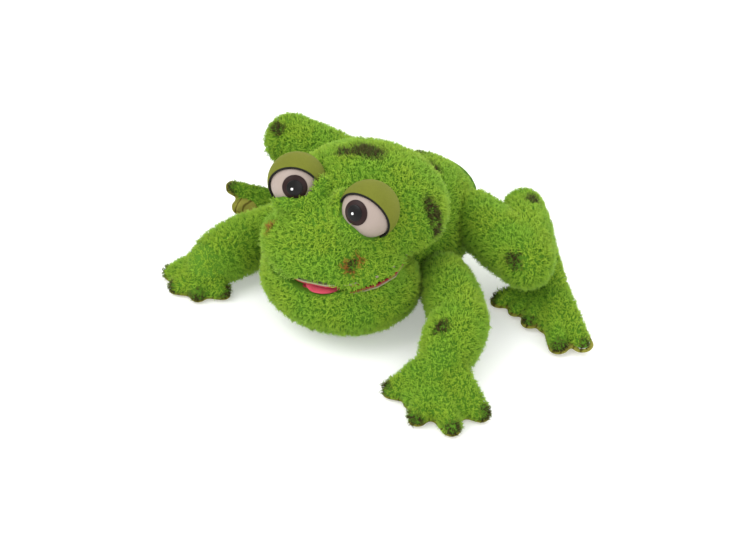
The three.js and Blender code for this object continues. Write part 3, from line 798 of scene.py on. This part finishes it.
def make_torso():
    def draw(mesh):
        ball_mesh(mesh, NECK, [CHEST_RADIUS - PILE_HEIGHT] * 3, FINE_BALL)
        ball_mesh(mesh, BACK_CENTRE, BACK_SEMI - PILE_HEIGHT, FINE_BALL)

    def hollow(mesh):
        elliptic_tube(mesh, (-56, 120), TUNNEL_SEMI + 1.2)
    points, quads = base_surface(draw, 8, hollow=hollow)
    over = points[:, 1] > REAR[0]
    depth = REAR[1] - REAR[0]
    points[over, 1] = REAR[0] + depth * np.tanh((points[over, 1] - REAR[0]) / depth)
    points[:, 2] = np.maximum(points[:, 2], 4)

    def keep(where):
        x, y, z = where.T
        tunnel = (x / (TUNNEL_SEMI[0] + 4)) ** 2 + ((z - TUNNEL_HEIGHT) / (TUNNEL_SEMI[1] + 4)) ** 2 < 1
        belly = (z < 6) & ((x / BELLY_SEMI[0]) ** 2 + (y / BELLY_SEMI[1]) ** 2 < 1)
        return ~(tunnel & (y > -58)) & ~belly
    marks = marker(brown=[((6, 24, 128), (15, 13, 10)), ((27, 28, 123), (15, 12, 10)),
                          ((-10, 52, 118), (13, 9, 10))])
    fur_piece("torso_fur", points, quads, "torso", ["torso_skin"], keep, marks=marks, seed=103)
    make_filling("torso", "torso_padding", points, quads)


def make_cloth_tubes():
    """The hand sleeve and the hem round its mouth, which is gathered a little."""
    for name, node, ends, outer, wall, puckers in (
        ("gathered_sleeve", "hand_sleeve", (-51, 80), TUNNEL_SEMI + 0.2, 1.5, 0.6),
        ("rolled_hem", "sleeve_cuff", (82.3, 88), TUNNEL_SEMI + 2.6, 4.6, 0.35),
    ):
        def draw(mesh):
            elliptic_tube(mesh, ends, outer, outer - wall)
        thing = drawn_object(name, draw)
        count = len(thing.data.vertices)
        points = np.zeros(count * 3)
        thing.data.vertices.foreach_get("co", points)
        points = points.reshape(-1, 3)
        angle = np.arctan2(points[:, 2] - TUNNEL_HEIGHT, points[:, 0])
        wave = np.sin(angle * 23 + 1.5 * np.sin(points[:, 1] / 9))
        pull = puckers * wave * (0.5 + 0.5 * np.sin(points[:, 1] / 7))
        points[:, 0] -= pull * np.cos(angle)
        points[:, 2] -= pull * np.sin(angle)
        thing.data.vertices.foreach_set("co", (points * MM).astype(np.float32).ravel())
        bevel = thing.modifiers.new("rolled", "SUBSURF")
        bevel.levels = bevel.render_levels = 2
        thing.data.materials.append(LINING)
        for face in thing.data.polygons:
            face.use_smooth = True
        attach(thing, "torso")
        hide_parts(node)


# ---- Limbs --------------------------------------------------------------------------------------------
LIMB_MARKS = {
    ("left", "arm"): [((140, -129, 59), (8, 9, 8))],
    ("left", "leg"): [((152, -20, 82), (10, 8, 9)), ((116, 74, 92), (9, 10, 7))],
    ("right", "leg"): [((-180, 20, 101), (12, 9, 8))],
}


def make_limb(side, kind, names, joints):
    pivots = [PIVOTS[f"{side}_{joint}"] for joint in joints]
    radii = LIMB_RADII[side, kind]
    for index in range(2):
        start, end = pivots[index], pivots[index + 1]
        start_radius, end_radius = radii[index], radii[index + 1]

        def draw(mesh):
            rope_mesh(mesh, start, end, start_radius - PILE_HEIGHT, end_radius * 0.95 - PILE_HEIGHT, BARREL)
        points, quads = base_surface(draw, 4)
        points[:, 2] = np.maximum(points[:, 2], LIMB_FLOOR)

        def keep(where):
            return np.linalg.norm(where - end, axis=1) > end_radius - PILE_HEIGHT - 0.5
        name = f"{side}_{names[index]}"
        fur_piece(f"{name}_fur", points, quads, name, [f"{name}_skin"], keep,
                  marks=marker(brown=LIMB_MARKS.get((side, kind), ())),
                  seed=LIMB_SEED + len(bpy.data.objects))
        make_filling(name, f"{name}_stuffing", points, quads)
    make_paw(f"{side}_{names[2]}")


def paw_ropes(plan):
    """The end point and end radius of each rope of a paw: its toes, and the webs between them."""
    palm = np.array(plan["palm"], float)
    toes = [np.array(toe, float) for toe in plan["toes"]]
    ropes = [(toe, plan["toe_radius"]) for toe in toes]
    for first, second, reach in zip(toes[:-1], toes[1:], plan["webs"]):
        ropes.append((palm + ((first + second) / 2 - palm) * reach, plan["toe_radius"] * 0.85))
    return ropes


def make_paw(name):
    plan = PAWS[name]
    wrist = PIVOTS[plan["joint"]]
    a, b, c = (np.array(point, float) for point in plan["sole"])
    up = unit(np.cross(b - a, c - a))
    up = up if up[2] > 0 else -up

    def draw(mesh):
        palm = plan["palm"]
        rope_mesh(mesh, wrist, palm, plan["wrist_radius"] - PILE_HEIGHT, plan["palm_radius"] - PILE_HEIGHT)
        for end, radius in paw_ropes(plan):
            rope_mesh(mesh, palm, end, plan["palm_radius"] - PILE_HEIGHT, radius - PILE_HEIGHT * 0.85)
        if plan["cheeks"]:
            for toe in (plan["toes"][0], plan["toes"][-1]):
                rope_mesh(mesh, wrist, toe, plan["wrist_radius"] * 0.8 - PILE_HEIGHT,
                          plan["toe_radius"] - PILE_HEIGHT)
    points, quads = base_surface(draw, 5, 2.4)
    height = (points - a) @ up
    sunk = height < PAW_CLOTH_HEIGHT
    points[sunk] += up * (PAW_CLOTH_HEIGHT - height[sunk])[:, None]

    def bare(where):
        """True where the velour of the sole wraps over the toes, so that no pile grows there."""
        if "bare" not in plan:
            return np.zeros(len(where), bool)
        centre, semi = (np.array(value) for value in plan["bare"])
        return np.linalg.norm((where - centre) / semi, axis=1) < 1

    def keep(where):
        return ((where - a) @ up > PAW_ROOT_HEIGHT) & ~bare(where)

    def press(flat):
        height = (flat - a) @ up
        low = height < PAW_PRESSED_HEIGHT
        flat[low] += up * (PAW_PRESSED_HEIGHT - height[low])[:, None]
        return flat
    palm = np.array(plan["palm"], float)
    tips = []
    for toe in plan["toes"]:
        toe = np.array(toe, float)
        tips.append((toe + unit(toe - palm) * plan["toe_radius"] * 0.45, (8, 8, 10)))
    fur_piece(f"{name}_fur", points, quads, name, [f"{name}_skin"], keep, marks=marker(brown=tips),
              seed=PAW_SEED + len(bpy.data.objects), length=PILE * 0.85, reshape=press, bare=bare)
    make_filling(name, f"{name}_stuffing", points, quads)
    make_sole(name, plan, a, up)


def make_sole(name, plan, a, up):
    """A velour sole, a little crowned, that shows as a rim under the pile."""
    def flat(point):
        point = np.array(point, float)
        return point - up * ((point - a) @ up) + up * SOLE_DRAWN_HEIGHT

    def draw(mesh):
        palm = flat(plan["palm"])
        for end, radius in paw_ropes(plan):
            rope_mesh(mesh, palm, flat(end), plan["palm_radius"] - 2, radius - plan["rim"])
    points, quads = base_surface(draw, 4, 2.2)
    height = (points - a) @ up
    crowned = SOLE_MIDDLE_HEIGHT + (height - SOLE_MIDDLE_HEIGHT) * SOLE_CROWN
    points += up * (crowned - height)[:, None]
    points[:, 2] = np.maximum(points[:, 2], 0.2)
    thing = plain_piece(f"{name}_velour_sole", points, quads, SOLE_VELOUR)
    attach(thing, name)
    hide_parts(f"{name}_sole")


def make_filling(name, node, points, quads, share=1.0):
    """Stuffing under its cloth. A share below 1 also shrinks it about its middle."""
    centre = points.mean(axis=0)
    inside = centre + (points - centre) * share - vertex_normals(points, quads) * FILL_DEPTH * share
    thing = plain_piece(f"{name}_filling", inside, quads, FIBREFILL)
    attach(thing, name)
    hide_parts(node)


def plain_piece(name, points, faces, material):
    mesh = bpy.data.meshes.new(name)
    mesh.from_pydata([tuple(point * MM) for point in points], [], [tuple(face) for face in faces])
    mesh.materials.append(material)
    mesh.polygons.foreach_set("use_smooth", np.ones(len(mesh.polygons), bool))
    mesh.update()
    thing = bpy.data.objects.new(name, mesh)
    bpy.context.scene.collection.objects.link(thing)
    return thing


# ---- Eyes -------------------------------------------------------------------------------------------
def direction(turn, lift):
    turn, lift = math.radians(turn), math.radians(lift)
    return np.array([math.sin(turn) * math.cos(lift), -math.cos(turn) * math.cos(lift), math.sin(lift)])


def revolve(name, centre, axis, profile, material, segments=64):
    """A closed solid of revolution from a profile of (distance along the axis, radius)."""
    axis = unit(np.array(axis, float))
    across = unit(np.cross(axis, [0, 0, 1]))
    upright = np.cross(across, axis)
    points, faces = [], []
    rows = len(profile)
    for segment in range(segments):
        angle = 2 * math.pi * segment / segments
        spoke = across * math.cos(angle) + upright * math.sin(angle)
        points += [centre + axis * along + spoke * radius for along, radius in profile]
    for segment in range(segments):
        here, following = segment * rows, (segment + 1) % segments * rows
        for row in range(rows):
            after = (row + 1) % rows
            faces.append((here + row, here + after, following + after, following + row))
    thing = plain_piece(name, np.array(points), faces, material)
    mesh = bmesh.new()
    mesh.from_mesh(thing.data)
    bmesh.ops.remove_doubles(mesh, verts=mesh.verts, dist=1e-6)
    bmesh.ops.dissolve_degenerate(mesh, dist=1e-7, edges=mesh.edges)
    bmesh.ops.recalc_face_normals(mesh, faces=mesh.faces)
    for face in mesh.faces:
        face.smooth = True
    mesh.to_mesh(thing.data)
    mesh.free()
    return thing


def cap_profile(inner, outer, edge_angle, steps=14):
    """A shell of a sphere out to an angle from the axis, with a rounded rim."""
    profile = []
    for step in range(steps + 1):
        angle = edge_angle * step / steps
        profile.append((outer * math.cos(angle), outer * math.sin(angle)))
    half = (outer - inner) / 2
    middle_radius = inner + half
    for step in range(1, 6):
        round_angle = math.pi * step / 6
        radius = middle_radius + half * math.cos(round_angle)
        angle = edge_angle + half * math.sin(round_angle) / middle_radius
        profile.append((radius * math.cos(angle), radius * math.sin(angle)))
    for step in range(steps, -1, -1):
        angle = edge_angle * step / steps
        profile.append((inner * math.cos(angle), inner * math.sin(angle)))
    return profile


# Offsets of the painted catchlight on each pupil, a painted highlight placed as the camera sees it.
CATCHLIGHT = {"left": (-2.2, -0.6), "right": (-2.6, -1.0)}   # to the right and up, as the camera sees it


def cord_profile(lid_angle):
    """The round section of the piping, just past the edge of the lid."""
    profile = []
    for step in range(12):
        turn = 2 * math.pi * step / 12
        radius = CORD_MIDDLE + CORD_RADIUS * math.cos(turn)
        angle = lid_angle + CORD_LEAD + CORD_RADIUS * math.sin(turn) / CORD_MIDDLE
        profile.append((radius * math.cos(angle), radius * math.sin(angle)))
    return profile


def dome_profile(steps=40):
    """A ball's outline, from front to back."""
    angles = [math.pi * step / steps for step in range(steps + 1)]
    return [(EYE_RADIUS * math.cos(angle), EYE_RADIUS * math.sin(angle)) for angle in angles]


def make_eye(side):
    centre = EYE_CENTRES[side]
    gaze = direction(*GAZE[side])
    # the pupil's colour holds a painted highlight: a white catchlight dot
    right, up = CATCHLIGHT[side]
    pupil_front = PUPIL_SHELL[1]
    towards = gaze * pupil_front + np.array(RIGHTWARD) * right + np.array(UPWARD) * up
    shine = centre + unit(towards) * pupil_front
    black = eye_material(f"{side}_pupil_black", (0.006, 0.005, 0.005), (0.003, 0.003, 0.003), 0.3, 0.2, shine)
    iris = cap_profile(*IRIS_SHELL, math.asin(IRIS_RADIUS / 27))
    pupil = cap_profile(*PUPIL_SHELL, math.asin(PUPIL_WIDTH / 28))
    lid_angle = math.acos(LID_EDGE[side])
    lid = cap_profile(LID_INNER_RADIUS, LID_RADIUS, lid_angle, 24)
    facing = LID_FACING[side]
    for piece, node, slot in (
        (revolve(f"{side}_eyeball", centre, gaze, dome_profile(), EYE_WHITE), "eye_dome", "eye_white"),
        (revolve(f"{side}_iris_disc", centre, gaze, iris, IRIS), "iris", "iris_brown"),
        (revolve(f"{side}_pupil_disc", centre, gaze, pupil, black), "pupil", "pupil_black"),
        (revolve(f"{side}_velour_lid", centre, facing, lid, OLIVE_VELOUR), "eyelid", "olive_velour"),
        (revolve(f"{side}_piping_cord", centre, facing, cord_profile(lid_angle), CORD, 96),
         "lid_piping", "black_cord"),
    ):
        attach(piece, "head")
        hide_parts(f"{side}_{node}")


# ---- Pieces kept from the frame ---------------------------------------------------------------------
SHEET_VOXEL = 0.9
SHEET_SMOOTHING = 4


def soften(node):
    """Rounds the edges of a cloth sheet that is kept from the frame."""
    add_remesh(node, SHEET_VOXEL * MM)
    smooth = node.modifiers.new("smooth", "SMOOTH")
    smooth.iterations = SHEET_SMOOTHING
    smooth.factor = 0.5


def paint_kept_nodes():
    """Materials for the CAD nodes that are still shown. The mouth linings and boards are among them."""
    paint = {"lining_cloth": LINING, "red_velour": RED_VELOUR, "stiff_board": BOARD,
             "olive_velour": OLIVE_VELOUR, "washer_plastic": WASHER}
    for part in frame["record"]["subparts"]:
        node = frame["nodes"][part["node"]]
        slot = part["material_slot"]
        if node.hide_render or slot not in paint:
            continue
        node.data.materials.clear()
        node.data.materials.append(paint[slot])
        if slot in ("red_velour", "olive_velour"):
            soften(node)


# ---- Stage ------------------------------------------------------------------------------------------
def add_light(name, place, target, power, width):
    data = bpy.data.lights.new(name, "AREA")
    data.energy = power
    data.size = width
    light = bpy.data.objects.new(name, data)
    bpy.context.scene.collection.objects.link(light)
    light.location = place
    light.rotation_euler = (Vector(target) - Vector(place)).to_track_quat("-Z", "Y").to_euler()


def make_stage():
    scene = bpy.context.scene
    world = bpy.data.worlds.new("studio")
    scene.world = world
    world.use_nodes = True
    world.node_tree.nodes["Background"].inputs["Color"].default_value = (1, 1, 1, 1)
    world.node_tree.nodes["Background"].inputs["Strength"].default_value = 1.05
    bpy.ops.mesh.primitive_plane_add(size=8, location=(0, 0, -0.0005))
    floor = bpy.context.object
    floor.name = "floor"
    paint = Recipe("pale_floor")
    paint.set(Base_Color=(0.8, 0.8, 0.8, 1), Roughness=0.6)
    paint.set(Emission_Color=(1, 1, 1, 1), Emission_Strength=0.3)
    floor.data.materials.append(paint.material)
    target = (0.02, -0.06, 0.07)
    add_light("key", (-0.5, -1.0, 1.3), target, 13, 1.1)
    add_light("fill", (1.3, -0.9, 0.8), target, 7, 1.4)
    add_light("rim", (0.2, 1.3, 1.0), target, 12, 1.2)
    scene.view_settings.view_transform = "Standard"

    data = bpy.data.cameras.new("camera")
    data.lens = SENSOR_WIDTH * FOCAL_PIXELS / PICTURE_WIDTH
    data.sensor_width = SENSOR_WIDTH
    camera = bpy.data.objects.new("camera", data)
    scene.collection.objects.link(camera)
    camera.location = AIM + BACKWARD * DISTANCE
    camera.rotation_euler = BACKWARD.to_track_quat("Z", "Y").to_euler()
    scene.camera = camera


make_head()
make_jaw()
make_tongue()
make_torso()
make_cloth_tubes()
for side in ("left", "right"):
    make_eye(side)
    make_limb(side, "arm", ("upper_arm", "forearm", "hand"), ("shoulder", "elbow", "wrist"))
    make_limb(side, "leg", ("thigh", "shank", "foot"), ("hip", "knee", "ankle"))
paint_kept_nodes()
make_stage()
